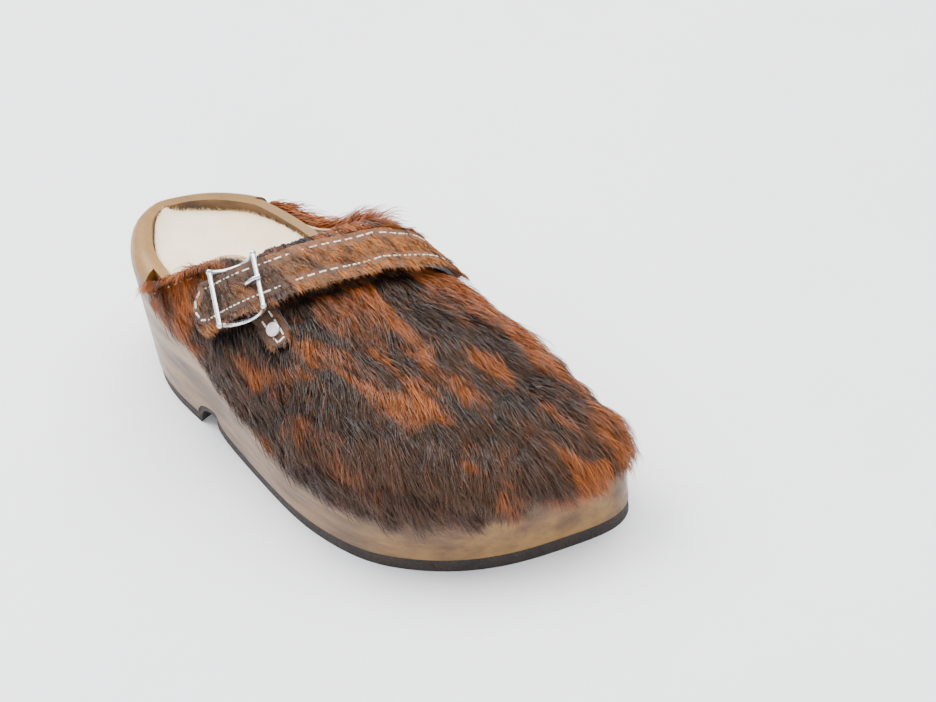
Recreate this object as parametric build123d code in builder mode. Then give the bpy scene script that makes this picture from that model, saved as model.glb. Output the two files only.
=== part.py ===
from build123d import *
import math
import os

# A right-foot clog: carved wooden sole, rubber outsole, leather insole, hair-on hide upper
# and an instep strap with a buckle.
# +X points to the toe, +Y to the inner (big toe) side, +Z up. The origin is the middle of
# the outline, on the ground. All sizes are in millimetres.

# ---- overall sizes -------------------------------------------------------------------------
LENGTH = 258.0            # wooden sole, heel to toe
WIDTH = 111.0             # wooden sole at the ball of the foot
OUTSOLE = 6.5             # rubber under heel and forefoot
SHANK_RUBBER = 3.2        # rubber under the arch
OUTSOLE_INSET = 0.3       # rubber's edge inside the wood's side
RIM_HEIGHT = 67.0         # top of the wooden rim at the heel
FORE_TOP = 36.5           # top of the wood at the forefoot
LEDGE_HEEL = 59.0         # ledge that the hide stands on, at its rear end
LEDGE_FORE = 33.0         # the same ledge round the forefoot
BREAST = 66.0             # rear of the arch under the shank, from the heel
ARCH_HEIGHT = 16.5        # highest point of the wood's underside
ARCH_FRONT = 114.0        # where the forefoot's flat underside begins
HEEL_SEAT = 56.0          # wood at the middle of the heel seat
FORE_SEAT = 32.0          # wood at the middle of the forefoot
RIM_WIDTH = 11.0          # wood left between the insole and the outside
RIM_ROUND = 8.0           # rounding of the rim's outer edge
RIM_END = 95.0            # from the heel: past here the rim lies below that rounding
UPPER_START = 43.5        # from the heel: rear end of the hide

# ---- sheet goods ---------------------------------------------------------------------------
INSOLE = 1.6
INSOLE_GAP = 0.3          # between the insole's edge and the wood
HIDE = 3.4                # hide with its flattened coat
LINING = 1.2
HIDE_INSET = 0.5          # hide's outer face inside the wood's side
LEDGE_GAP = 1.6           # between the lining and the ledge's back wall
SEAT_GAP = 0.15           # under the hide's lower edge

# ---- strap, tab, buckle and rivets ---------------------------------------------------------
STRAP_WIDTH = 19.0
STRAP_HIDE = 2.4
STRAP_LINING = 1.4
GLUE = 0.1                # between a band's two leathers
STRAP_LIFT = 3.2          # strap's underside above the hide, over the coat
TAB_WIDTH = 11.0
TAB_HIDE = 1.2
TAB_LINING = 0.8
TAB_LIFT = 0.6
WIRE = 1.1                # radius of the buckle's wire
CENTRE_WIRE = 1.0         # radius of its centre bar
BUCKLE_LENGTH = 21.0      # between the middles of the two end bars
BUCKLE_WIDTH = 23.6       # between the middles of the two side rails
BAR_GAP = 1.1             # between the strap and the end bars
SLEEVE = 1.0              # leather looped round the centre bar
PRONG_WIRE = 0.9
RING_WALL = 0.8           # prong's eye
RIVET_SHANK = 1.5
RIVET_HEAD = 3.0
RIVET_HEAD_HEIGHT = 1.0
RIVET_CLEARANCE = 0.5     # strap and tab rock on the rivets
CAP_GAP = 0.8             # between the rivet's cap and the leather
THREAD = 0.4              # radius of the sewing thread
THREAD_SUNK = 0.15        # thread's middle below the leather's face
STITCH = 3.0              # length of one stitch
STITCH_PITCH = 4.0
STITCH_MARGIN = 3.2       # from the seam to the edge
NAIL_SHANK = 0.6
NAIL_HEAD = 1.4
NAIL_LENGTH = 9.0
NAIL_STEPS = 28           # places for a nail round the whole outline
NAIL_RISE = 1.8           # above the ledge
NAIL_START = 60.0         # from the heel
NAIL_SPACING = 6.0        # the least between two nails' tips

HEEL = -LENGTH / 2
TOE = LENGTH / 2
TALL = 150.0              # taller than anything in the clog


def at(distance):
    """Place along X of a distance from the heel."""
    return HEEL + distance


# ---- outline of the foot -------------------------------------------------------------------
HEEL_END, TOE_END = (HEEL, 14.0), (TOE, 22.0)
OUTER_BALL, INNER_BALL = (at(171), -WIDTH / 2), (at(157), WIDTH / 2)
FOOT = Edge.make_spline([Vector(x, y, 0) for x, y in [
    HEEL_END, (at(3.2), 0.6), (at(13), -11.0), (at(34), -24.8), (at(58), -32.0), (at(83), -37.2),
    (at(108), -43.6), (at(132), -50.2), (at(152), -54.3), OUTER_BALL, (at(188), -53.9),
    (at(204), -48.2), (at(220), -38.6), (at(238), -20.5), (at(250), -1.0), (at(256), 11.0),
    TOE_END, (at(254.6), 30.0), (at(240), 37.4), (at(222), 42.2), (at(200), 48.0),
    (at(180), 53.0), INNER_BALL, (at(125), 53.3), (at(104), 52.0), (at(83), 51.2),
    (at(58), 49.8), (at(34), 44.8), (at(14), 34.0), (at(4), 23.0),
]], periodic=True)
OUTLINE = Wire([FOOT])


def inset_points(curves, inset, turn, steps):
    """Points along joined curves, each moved inwards by inset."""
    points = []
    for curve in curves:
        for i in range(steps):
            place = i / steps
            tangent = (curve @ (place + 0.002) - curve @ max(place - 0.002, 0)).normalized()
            points.append(curve @ place + turn.cross(tangent) * inset)
    return points


def inset_outline(inset):
    """Closed curve at a distance inside the outline, without folds at tight corners."""
    rim = inset_points([FOOT], 0, Vector(0, 0, 1), 320)
    inside = [
        point for point in inset_points([FOOT], inset, Vector(0, 0, 1), 80)
        if min((point - place).length for place in rim) > 0.97 * inset
    ]
    return Wire([Edge.make_spline(inside, periodic=True)])


# ---- the upper's shape ---------------------------------------------------------------------
# Ridge of the upper in side view, and the ledge it stands on.
RIDGE = Spline(
    (at(35), 0, 102), (at(70), 0, 101.5), (at(100), 0, 99.5), (at(125), 0, 94), (at(150), 0, 84.5),
    (at(175), 0, 75), (at(200), 0, 66), (at(220), 0, 58), (at(238), 0, 50),
    (at(250), 0, 43.5), (TOE - HIDE_INSET, 0, LEDGE_FORE - 4),
    tangents=[(1, 0, 0), (0, 0, -1)],
)
LEDGE = Spline(
    (at(30), 0, LEDGE_HEEL + 0.5), (at(44), 0, LEDGE_HEEL), (at(58), 0, LEDGE_HEEL - 2.5),
    (at(78), 0, LEDGE_HEEL - 8.5), (at(100), 0, LEDGE_FORE + 10), (at(118), 0, LEDGE_FORE + 4),
    (at(138), 0, LEDGE_FORE + 0.5), (at(155), 0, LEDGE_FORE),
    tangents=[(1, 0, 0), (1, 0, 0)],
)
RIDGE_REAR, RIDGE_BALL, RIDGE_TOE = 17.0, 18.0, 20.0    # its sideways place
FULL_OUTER = 2.3                                        # fullness of the outer side
FULL_TONGUE, FULL_FORE = 2.8, 1.8                       # and of the inner one, rear and front
SAMPLES = 160

# The last that the upper is pulled over, close to the sole's outline.
LAST_OUTER = [
    Spline(HEEL_END, (at(10), -8.4), (at(34), -24.8), (at(83), -37.2), (at(125), -48.0),
           (at(150), -53.8), OUTER_BALL, tangents=[(0, -1), (1, 0)]),
    Spline(OUTER_BALL, (at(200), -50.2), (at(220), -38.6), (at(238), -20.5), (at(250), -1.0),
           TOE_END, tangents=[(1, 0), (0, 1)]),
]
LAST_INNER = [
    Spline(TOE_END, (at(252), 32.6), (at(240), 37.4), (at(222), 42.2), (at(200), 48.0),
           (at(180), 53.0), INNER_BALL, tangents=[(0, 1), (-1, 0)]),
    Spline(INNER_BALL, (at(125), 52.9), (at(83), 51.7), (at(34), 45.8), (at(10), 30.4),
           HEEL_END, tangents=[(-1, 0), (0, -1)]),
]


def crossing(points, x):
    """Point where a run of points passes x."""
    for here, there in zip(points, points[1:]):
        if (here.X - x) * (there.X - x) <= 0 and here.X != there.X:
            return here + (there - here) * ((x - here.X) / (there.X - here.X))
    return points[0] if abs(points[0].X - x) < abs(points[-1].X - x) else points[-1]


class UpperFace:
    """One face of the upper, a given depth inside the wood's side."""

    def __init__(self, inset):
        self.inset = inset
        self.outer = inset_points(LAST_OUTER, inset, Vector(0, 0, 1), SAMPLES)
        self.inner = inset_points(LAST_INNER, inset, Vector(0, 0, 1), SAMPLES)
        self.ridge = inset_points([RIDGE], inset - HIDE_INSET, Vector(0, 1, 0), SAMPLES)
        self.ledge = inset_points([LEDGE], 0, Vector(0, 1, 0), SAMPLES)

    def frame(self, distance):
        """Outer side, inner side, ridge and base at a distance from the heel."""
        x = at(distance)
        outer, inner = crossing(self.outer, x).Y, crossing(self.inner, x).Y
        base = LEDGE_FORE if distance > 155 else crossing(self.ledge, x).Z
        top = max(crossing(self.ridge, x).Z, base + 2)
        if distance < 160:
            middle = RIDGE_REAR + (RIDGE_BALL - RIDGE_REAR) * distance / 160
        else:
            middle = RIDGE_BALL + (RIDGE_TOE - RIDGE_BALL) * (distance - 160) / 98
        return outer, inner, min(max(middle, outer + 2), inner - 2), top, base

    def side(self, distance, is_outer):
        """Width and fullness of one side, from the ridge outwards."""
        outer, inner, middle = self.frame(distance)[:3]
        if is_outer:
            return middle - outer, FULL_OUTER
        run = min(max((distance - 122) / 28, 0), 1)
        return inner - middle, FULL_TONGUE + (FULL_FORE - FULL_TONGUE) * run * run * (3 - 2 * run)

    def point(self, distance, turn):
        """Point on the face: turn runs from 0 degrees outside over 90 to 180 inside."""
        middle, top, base = self.frame(distance)[2:]
        across, rise = math.cos(math.radians(turn)), max(math.sin(math.radians(turn)), 0.0)
        reach, full = self.side(distance, across > 0)
        side = math.copysign(abs(across) ** (2 / full), across)
        return Vector(at(distance), middle - reach * side, base + (top - base) * rise ** (2 / full))

    def normal(self, distance, turn):
        """Outward direction of the face at that point."""
        along = self.point(distance + 1, turn) - self.point(distance - 1, turn)
        across = self.point(distance, turn + 1) - self.point(distance, turn - 1)
        return along.cross(across).normalized()

    def turn_at(self, distance, y):
        """Turn of the point at a sideways place."""
        middle = self.frame(distance)[2]
        reach, full = self.side(distance, y < middle)
        share = min(abs(middle - y) / reach, 1.0) ** (full / 2)
        turn = math.degrees(math.acos(share))
        return turn if y < middle else 180 - turn

    def turn_up(self, distance, height, inner_side):
        """Turn of the point at a height, on the outer or the inner side."""
        top, base = self.frame(distance)[3:]
        full = self.side(distance, not inner_side)[1]
        share = min(max((height - base) / (top - base), 0.0), 1.0) ** (full / 2)
        turn = math.degrees(math.asin(share))
        return 180 - turn if inner_side else turn


HIDE_FACE = UpperFace(HIDE_INSET)
TURNS = (0, 6, 14, 24, 36, 50, 65, 78, 90, 102, 115, 130, 144, 156, 166, 174, 180)
STEPS = (38, 60, 80, 100, 120, 140, 160, 180, 200, 216, 230, 241, 249, 254)
END_STEPS = ((256, 0.93), (LENGTH - HIDE_INSET - 0.5, 1.0))


def upper_block(inset):
    """Solid bounded by one face of the upper and reaching below the ledge."""
    face = UpperFace(inset)
    depth = inset - HIDE_INSET
    shifts = [(step, 0.0 if step < 215 else (step - 215) / 45) for step in STEPS]
    sections = []
    for step, share in [*shifts, *END_STEPS]:
        distance = step - depth * share
        points = [face.point(distance, turn) for turn in TURNS]
        low = LEDGE_FORE - 6
        foot_outer = Vector(points[0].X, points[0].Y, low)
        foot_inner = Vector(points[-1].X, points[-1].Y, low)
        arch = Edge.make_spline(points, tangents=[Vector(0, 0, 1), Vector(0, 0, -1)])
        sections.append(Wire([
            Edge.make_line(foot_outer, points[0]), arch,
            Edge.make_line(points[-1], foot_inner), Edge.make_line(foot_inner, foot_outer),
        ]))
    return Solid.make_loft(sections)


# ---- wooden sole and rubber outsole --------------------------------------------------------
def arch_profile(drop, floor):
    """Underside in side view: flat heel, breast, arch and flat forefoot, lowered by drop."""
    heel_line = Line((HEEL - 5, floor), (at(BREAST), floor))
    breast = Spline(
        heel_line @ 1,
        (at(BREAST + 7), ARCH_HEIGHT - 2.6 - drop),
        (at(BREAST + 16), ARCH_HEIGHT - drop),
        (at(ARCH_FRONT), floor),
        tangents=[(0.5, 1), (1, 0)],
    )
    fore_line = Line(breast @ 1, (TOE + 5, floor))
    return [heel_line, breast, fore_line]


RIM_LINE = [
    (at(40), RIM_HEIGHT + 0.5), (at(52), RIM_HEIGHT - 1.5), (at(78), LEDGE_HEEL - 1),
    (at(118), FORE_TOP + 5.5), (at(150), FORE_TOP), (TOE + 5, FORE_TOP),
]


def seat_height(x, y):
    """Height of the wood under the insole: a cupped heel that runs down to the forefoot."""
    distance = x - HEEL
    run = min(max((distance - 35) / 125, 0), 1)
    middle = HEEL_SEAT + (FORE_SEAT - HEEL_SEAT) * run * run * (3 - 2 * run)
    cup = 8.0 + (2.0 - 8.0) * run
    half_width = 27 + 17 * run
    centre = 13 - 8 * run
    back = 8.5 * max(0.0, (36 - distance) / 25) ** 2
    return middle + cup * ((y - centre) / half_width) ** 2 + back


def seat_face():
    """The insole's under face, over the whole plan of the foot."""
    rows = []
    for i in range(27):
        x = HEEL - 5 + i * (LENGTH + 10) / 26
        rows.append([(x, y, seat_height(x, y)) for y in range(-60, 61, 10)])
    return Face.make_surface_from_array_of_points(rows)


SEAT = seat_face()
RABBET = HIDE_INSET + HIDE + LINING + LEDGE_GAP

with BuildPart() as rim_blank:
    with BuildSketch(Plane.XY):
        make_face(OUTLINE.edges())
        with Locations((at(RIM_END + LENGTH / 2), 0)):
            Rectangle(LENGTH, 2 * WIDTH, mode=Mode.SUBTRACT)
    extrude(amount=RIM_HEIGHT)
    rim_edges = rim_blank.faces().sort_by(Axis.Z)[-1].edges()
    fillet(rim_edges.filter_by(GeomType.LINE, reverse=True), RIM_ROUND)

with BuildPart() as fore_blank:
    with BuildSketch(Plane.XY):
        make_face(OUTLINE.edges())
        with Locations((at(RIM_END - LENGTH / 2), 0)):
            Rectangle(LENGTH, 2 * WIDTH, mode=Mode.SUBTRACT)
    extrude(amount=RIM_HEIGHT)

with BuildPart() as side_view:
    with BuildSketch(Plane.XZ):
        with BuildLine():
            add(arch_profile(0, OUTSOLE))
            top = Spline(*RIM_LINE, tangents=[(1, 0), (1, 0)])
            Polyline((HEEL - 5, OUTSOLE), (HEEL - 5, TALL), (at(40), TALL), top @ 0)
            Line((TOE + 5, OUTSOLE), top @ 1)
        make_face()
    extrude(amount=WIDTH, both=True)

with BuildPart() as seat_space:
    with BuildSketch(Plane.XY):
        make_face(inset_outline(RIM_WIDTH).edges())
    extrude(amount=TALL)
    add(Solid.extrude(SEAT, Vector(0, 0, TALL)), mode=Mode.INTERSECT)


def above_ledge(start, gap):
    """Everything above the ledge from a distance on, seen from the side."""
    with BuildPart() as space:
        with BuildSketch(Plane.XZ):
            with BuildLine():
                ledge = Spline(*[(p.X, p.Z + gap) for p in (LEDGE @ (i / 8) for i in range(9))],
                               tangents=[(1, 0), (1, 0)])
                Polyline(ledge @ 0, (at(30), TALL), (TOE + 9, TALL),
                         (TOE + 9, LEDGE_FORE + gap), ledge @ 1)
            make_face()
            with Locations((at(start) - LENGTH / 2, TALL / 2)):
                Rectangle(LENGTH, 2 * TALL, mode=Mode.SUBTRACT)
        extrude(amount=WIDTH, both=True)
    return space.part


with BuildPart() as ledge_ring:
    with BuildSketch(Plane.XY):
        Rectangle(1.2 * LENGTH, 1.2 * WIDTH)
        make_face(inset_outline(RABBET).edges(), mode=Mode.SUBTRACT)
    extrude(amount=TALL)

with BuildPart() as wooden_sole:
    add(rim_blank.part)
    add(fore_blank.part)
    add(side_view.part, mode=Mode.INTERSECT)
    add(seat_space.part, mode=Mode.SUBTRACT)
    add(ledge_ring.part & above_ledge(UPPER_START - LEDGE_GAP, 0), mode=Mode.SUBTRACT)

with BuildPart() as rubber_outsole:
    with BuildSketch(Plane.XY):
        make_face(inset_outline(OUTSOLE_INSET).edges())
    extrude(amount=RIM_HEIGHT)
    with BuildSketch(Plane.XZ):
        with BuildLine():
            lower = arch_profile(SHANK_RUBBER, 0)
            upper = arch_profile(0, OUTSOLE)
            add([*lower, *upper])
            Line(lower[0] @ 0, upper[0] @ 0)
            Line(lower[-1] @ 1, upper[-1] @ 1)
        make_face()
    extrude(amount=WIDTH, both=True, mode=Mode.INTERSECT)

with BuildPart() as leather_insole:
    with BuildSketch(Plane.XY):
        make_face(inset_outline(RIM_WIDTH + INSOLE_GAP).edges())
    extrude(amount=TALL)
    add(Solid.extrude(SEAT, Vector(0, 0, INSOLE)), mode=Mode.INTERSECT)

# ---- upper ---------------------------------------------------------------------------------
OUTER_TOPLINE = [(at(30), 56), (at(43.5), 61.5), (at(58.5), 71.5), (at(68.5), 78.5),
                 (at(78), 84), (at(85), 87.3), (at(93), 89), (at(101), 88.6), (at(108), 85)]
INNER_TOPLINE = [(at(30), 62), (at(43.5), 61.5), (at(55), 58.5), (at(66), 56.8), (at(76), 58.5),
                 (at(88), 64), (at(100), 71), (at(109), 75.5), (at(117), 77), (at(124), 74)]
TONGUE_EDGE = [(at(112), -28), (at(107), -21), (at(104.5), -13), (at(112), -0.5),
               (at(119.5), 15.5), (at(124), 30), (at(125), 42), (at(126), 54)]
EAR_SPLIT = 18.0          # sideways place where the two topline cuts meet


def topline_cut(line, side):
    """Space above one side's topline, from the middle outwards."""
    with BuildPart() as space:
        with BuildSketch(Plane.XZ):
            with BuildLine():
                edge = Spline(*line)
                Polyline(edge @ 0, (at(30), TALL), (at(140), TALL), (at(140), line[-1][1]), edge @ 1)
            make_face()
        extrude(amount=2 * WIDTH, both=True)
        with BuildSketch(Plane.XY):
            with Locations((0, EAR_SPLIT + side * WIDTH)):
                Rectangle(2 * LENGTH, 2 * WIDTH)
        extrude(amount=TALL, mode=Mode.INTERSECT)
    return space.part


with BuildPart() as foot_entry:
    with BuildSketch(Plane.XY):
        with BuildLine():
            rear_edge = Spline(*TONGUE_EDGE)
            Polyline(rear_edge @ 0, (at(112), -WIDTH), (at(20), -WIDTH), (at(20), WIDTH),
                     (at(126), WIDTH), rear_edge @ 1)
        make_face()
    extrude(amount=TALL)
    add(topline_cut(OUTER_TOPLINE, -1) + topline_cut(INNER_TOPLINE, 1), mode=Mode.INTERSECT)

with BuildPart() as outside_upper:
    Box(LENGTH + 14, 1.9 * WIDTH, TALL - 10, align=(Align.CENTER, Align.CENTER, Align.MIN))
    add(above_ledge(UPPER_START, SEAT_GAP), mode=Mode.SUBTRACT)

HIDE_BACK = upper_block(HIDE_INSET + HIDE)

with BuildPart() as upper_hide:
    add(upper_block(HIDE_INSET))
    add(outside_upper.part, mode=Mode.SUBTRACT)
    add(foot_entry.part, mode=Mode.SUBTRACT)
    add(HIDE_BACK, mode=Mode.SUBTRACT)

with BuildPart() as upper_lining:
    add(HIDE_BACK)
    add(outside_upper.part, mode=Mode.SUBTRACT)
    add(foot_entry.part, mode=Mode.SUBTRACT)
    add(upper_block(HIDE_INSET + HIDE + LINING), mode=Mode.SUBTRACT)

# ---- strap and tab -------------------------------------------------------------------------
# Middle lines on the hide: distance from the heel, turn and height of the underside.
STRAP_PATH = [
    (92, 27.5, STRAP_LIFT), (103, 39.5, STRAP_LIFT + 1), (112, 49, STRAP_LIFT + 3.1),
    (120.5, 60.5, STRAP_LIFT + 1.2), (130, 74.5, STRAP_LIFT + 0.8), (139.5, 87.5, STRAP_LIFT + 0.8),
    (145.5, 101, STRAP_LIFT + 0.8), (147.5, 116, STRAP_LIFT + 0.6), (148, 130, STRAP_LIFT - 0.4),
    (148, 139, STRAP_LIFT - 1.4), (148, 148, STRAP_LIFT - 1.6),
]
BUCKLE_SPOT, STRAP_RIVET_SPOT = 2, 9      # places of the buckle and the rivet on that list
TAB_PATH = [(110.5, 49.3, TAB_LIFT), (121, 48.6, TAB_LIFT), (131.1, 46.4, TAB_LIFT),
            (137.3, 45, TAB_LIFT)]
TAB_RIVET_SPOT = 2


class Band:
    """Flat band that follows a middle line laid over the hide."""

    def __init__(self, path, width):
        self.path = path
        self.width = width

    def middle(self, place):
        """Distance, turn and height at a place, smoothly between the listed ones."""
        k = min(max(int(place), 0), len(self.path) - 2)
        before, after = self.path[max(k - 1, 0)], self.path[min(k + 2, len(self.path) - 1)]
        here, there, t = self.path[k], self.path[k + 1], place - k
        return [
            h + 0.5 * t * ((n - b) + t * (2 * b - 5 * h + 4 * n - a + t * (3 * (h - n) + a - b)))
            for b, h, n, a in zip(before, here, there, after)
        ]

    def underside(self, place):
        """Point on the middle of the underside."""
        distance, turn, lift = self.middle(place)
        return HIDE_FACE.point(distance, turn) + HIDE_FACE.normal(distance, turn) * lift

    def plane(self, place):
        """Plane on the underside: x along the band, z away from the hide."""
        distance, turn, lift = self.middle(place)
        ends = len(self.path) - 1
        ahead, behind = min(place + 0.05, ends), max(place - 0.05, 0)
        along = (self.underside(ahead) - self.underside(behind)).normalized()
        out = HIDE_FACE.normal(distance, turn)
        out = (out - along * out.dot(along)).normalized()
        return Plane(self.underside(place), x_dir=along, z_dir=out)

    def point(self, place, across, height):
        """Point in the band, from its middle line and underside."""
        return self.plane(place).from_local_coords(Vector(0, across, height))

    def layer(self, low, high):
        """Solid between two heights above the underside."""
        sections = []
        steps = 2 * (len(self.path) - 1)
        for i in range(steps + 1):
            corners = [
                self.point(i / 2, side * self.width / 2, height)
                for side, height in ((-1, low), (1, low), (1, high), (-1, high))
            ]
            sections.append(Wire.make_polygon(corners, close=True))
        return Solid.make_loft(sections)

    def end_trim(self, at_start):
        """Waste outside a round end."""
        frame = self.plane(0 if at_start else len(self.path) - 1)
        way = 1 if at_start else -1
        radius = self.width / 2 + 0.5
        with BuildPart() as waste:
            with BuildSketch(frame.offset(-10)):
                with Locations((way * (0.35 * radius - 2), 0)):
                    Rectangle(0.7 * radius + 4, 2 * self.width)
                with Locations((way * radius, 0)):
                    Circle(radius, mode=Mode.SUBTRACT)
            extrude(amount=20)
        return waste.part


STRAP, TAB = Band(STRAP_PATH, STRAP_WIDTH), Band(TAB_PATH, TAB_WIDTH)
STRAP_THICK = STRAP_HIDE + STRAP_LINING
TAB_THICK = TAB_HIDE + TAB_LINING

# Buckle's own frame: on the hide under the centre bar, x towards the strap's riveted end.
strap_plane = STRAP.plane(BUCKLE_SPOT)
BUCKLE_PLANE = Plane(
    strap_plane.origin - strap_plane.z_dir * STRAP_PATH[BUCKLE_SPOT][2],
    x_dir=strap_plane.x_dir, z_dir=strap_plane.z_dir,
)
SLEEVE_GAP = 0.15
CENTRE_HEIGHT = TAB_LIFT + TAB_THICK + CENTRE_WIRE + SLEEVE_GAP + 0.1


def strap_top(side):
    """Height of the strap's top in the buckle's frame, under one of the end bars."""
    near = []
    for i in range(41):
        top = STRAP.point(BUCKLE_SPOT + side * i / 20, 0, STRAP_THICK)
        near.append(BUCKLE_PLANE.to_local_coords(top))
    return min(near, key=lambda point: abs(abs(point.X) - BUCKLE_LENGTH / 2)).Z


BAR_HEIGHT = max(strap_top(-1), strap_top(1)) + BAR_GAP + WIRE


def spot(x, y, z):
    """Point given in the buckle's frame."""
    return BUCKLE_PLANE.from_local_coords(Vector(x, y, z))


def rod(start, end, radius):
    """Round bar between two points."""
    return Solid.make_cylinder(radius, (end - start).length, Plane(start, z_dir=end - start))


def rivet_plane(band, place):
    """Plane on the hide's face at a rivet, z outwards."""
    distance, turn, lift = band.path[place]
    return Plane(HIDE_FACE.point(distance, turn), z_dir=HIDE_FACE.normal(distance, turn))


def rivet_solids(plane, leather_top):
    """Shank with its inner head, and the outer cap, on one rivet's plane."""
    inside = HIDE + LINING + 1.0
    top = leather_top + CAP_GAP
    with BuildPart(plane.offset(-inside - RIVET_HEAD_HEIGHT)) as base:
        Cylinder(RIVET_HEAD, RIVET_HEAD_HEIGHT, align=(Align.CENTER, Align.CENTER, Align.MIN))
        Cylinder(RIVET_SHANK, inside + RIVET_HEAD_HEIGHT + top,
                 align=(Align.CENTER, Align.CENTER, Align.MIN))
    with BuildPart(plane.offset(top)) as cap:
        Cylinder(RIVET_HEAD, RIVET_HEAD_HEIGHT, align=(Align.CENTER, Align.CENTER, Align.MIN))
        rim = cap.edges().filter_by(GeomType.CIRCLE)
        fillet(rim.sort_by(lambda edge: (edge.center() - plane.origin).length)[-1], 0.6)
    return base.part, cap.part


def hole(plane, radius):
    """Straight hole through everything at a rivet."""
    start = plane.origin - plane.z_dir * 15
    return rod(start, start + plane.z_dir * 35, radius)


LATERAL_RIVET = rivet_plane(TAB, TAB_RIVET_SPOT)
MEDIAL_RIVET = rivet_plane(STRAP, STRAP_RIVET_SPOT)
SHANK_FIT = 0.05

slot_middle, slot_length = 2.4, 8.4
with BuildPart() as prong_slot:
    with BuildSketch(BUCKLE_PLANE.offset(CENTRE_HEIGHT)):
        with Locations((slot_middle, 0)):
            SlotOverall(slot_length, 2 * PRONG_WIRE + 0.8)
    extrude(amount=20)

with BuildPart() as strap_hide:
    add(STRAP.layer(STRAP_LINING, STRAP_THICK))
    for at_start in (True, False):
        add(STRAP.end_trim(at_start), mode=Mode.SUBTRACT)
    add(prong_slot.part, mode=Mode.SUBTRACT)
    add(hole(MEDIAL_RIVET, RIVET_SHANK + RIVET_CLEARANCE), mode=Mode.SUBTRACT)

with BuildPart() as strap_lining:
    add(STRAP.layer(0, STRAP_LINING - GLUE))
    for at_start in (True, False):
        add(STRAP.end_trim(at_start), mode=Mode.SUBTRACT)
    add(prong_slot.part, mode=Mode.SUBTRACT)
    add(hole(MEDIAL_RIVET, RIVET_SHANK + RIVET_CLEARANCE), mode=Mode.SUBTRACT)

sleeve_end, prong_room = 5.5, PRONG_WIRE + 0.7
sleeve_radius = CENTRE_WIRE + SLEEVE_GAP + SLEEVE
with BuildPart() as buckle_tab_hide:
    add(TAB.layer(TAB_LINING, TAB_THICK))
    add(TAB.end_trim(False), mode=Mode.SUBTRACT)
    for side in (-1, 1):
        add(rod(spot(0, side * prong_room, CENTRE_HEIGHT), spot(0, side * sleeve_end, CENTRE_HEIGHT),
                sleeve_radius))
    add(rod(spot(0, -20, CENTRE_HEIGHT), spot(0, 20, CENTRE_HEIGHT), CENTRE_WIRE + SLEEVE_GAP),
        mode=Mode.SUBTRACT)
    add(rod(spot(0, -prong_room, CENTRE_HEIGHT), spot(0, prong_room, CENTRE_HEIGHT),
            CENTRE_WIRE + 0.1 + RING_WALL + 0.3), mode=Mode.SUBTRACT)
    add(hole(LATERAL_RIVET, RIVET_SHANK + RIVET_CLEARANCE), mode=Mode.SUBTRACT)

with BuildPart() as buckle_tab_lining:
    add(TAB.layer(0, TAB_LINING - GLUE))
    add(TAB.end_trim(False), mode=Mode.SUBTRACT)
    add(hole(LATERAL_RIVET, RIVET_SHANK + RIVET_CLEARANCE), mode=Mode.SUBTRACT)

# ---- buckle and prong ----------------------------------------------------------------------
half_long, half_wide = BUCKLE_LENGTH / 2, BUCKLE_WIDTH / 2
with BuildPart() as buckle_frame:
    for side in (-1, 1):
        add(rod(spot(side * half_long, -half_wide, BAR_HEIGHT),
                spot(side * half_long, half_wide, BAR_HEIGHT), WIRE))
    for side in (-1, 1):
        rail = Edge.make_three_point_arc(
            spot(-half_long, side * half_wide, BAR_HEIGHT),
            spot(0, side * half_wide, CENTRE_HEIGHT),
            spot(half_long, side * half_wide, BAR_HEIGHT),
        )
        add(Solid.sweep(Wire.make_circle(WIRE, Plane(rail @ 0, z_dir=rail % 0)), Wire([rail])))
        for end in (0, 1):
            add(Solid.make_sphere(WIRE + 0.25, Plane(rail @ end), -90, 90, 360))
    add(rod(spot(0, -half_wide, CENTRE_HEIGHT), spot(0, half_wide, CENTRE_HEIGHT), CENTRE_WIRE))

ring_bore = CENTRE_WIRE + 0.08
prong_line = Edge.make_spline([
    spot(ring_bore + RING_WALL / 2, 0, CENTRE_HEIGHT + 0.5),
    spot(2.9, 0, CENTRE_HEIGHT + 4),
    spot(6.2, 0, BAR_HEIGHT + 0.9),
    spot(half_long, 0, BAR_HEIGHT + WIRE + PRONG_WIRE + 0.06),
    spot(half_long + 2.2, 0, BAR_HEIGHT + WIRE + PRONG_WIRE - 0.2),
])
with BuildPart() as buckle_prong:
    add(rod(spot(0, -PRONG_WIRE, CENTRE_HEIGHT), spot(0, PRONG_WIRE, CENTRE_HEIGHT),
            ring_bore + RING_WALL))
    add(Solid.sweep(Wire.make_circle(PRONG_WIRE, Plane(prong_line @ 0, z_dir=prong_line % 0)),
                    Wire([prong_line])))
    add(rod(spot(0, -5, CENTRE_HEIGHT), spot(0, 5, CENTRE_HEIGHT), ring_bore), mode=Mode.SUBTRACT)

# ---- rivets --------------------------------------------------------------------------------
lateral_base, lateral_cap = rivet_solids(LATERAL_RIVET, TAB_LIFT + TAB_THICK)
medial_base, medial_cap = rivet_solids(
    MEDIAL_RIVET, STRAP_PATH[STRAP_RIVET_SPOT][2] + STRAP_THICK)
for plane in (LATERAL_RIVET, MEDIAL_RIVET):
    for piece in (upper_hide, upper_lining):
        piece.part = piece.part - hole(plane, RIVET_SHANK + SHANK_FIT)

# ---- stitches ------------------------------------------------------------------------------
def stitches(seam, outwards):
    """Short threads along a seam, sunk into the leather; outwards gives the face's normal."""
    threads = []
    carried = 0.0
    start = seam[0]
    for here, there in zip(seam, seam[1:]):
        carried += (there - here).length
        if carried >= STITCH_PITCH:
            sunk = outwards(there) * THREAD_SUNK
            direction = (there - start).normalized()
            threads.append(rod(start - sunk, start - sunk + direction * STITCH, THREAD))
            start, carried = there, 0.0
    return threads


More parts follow.
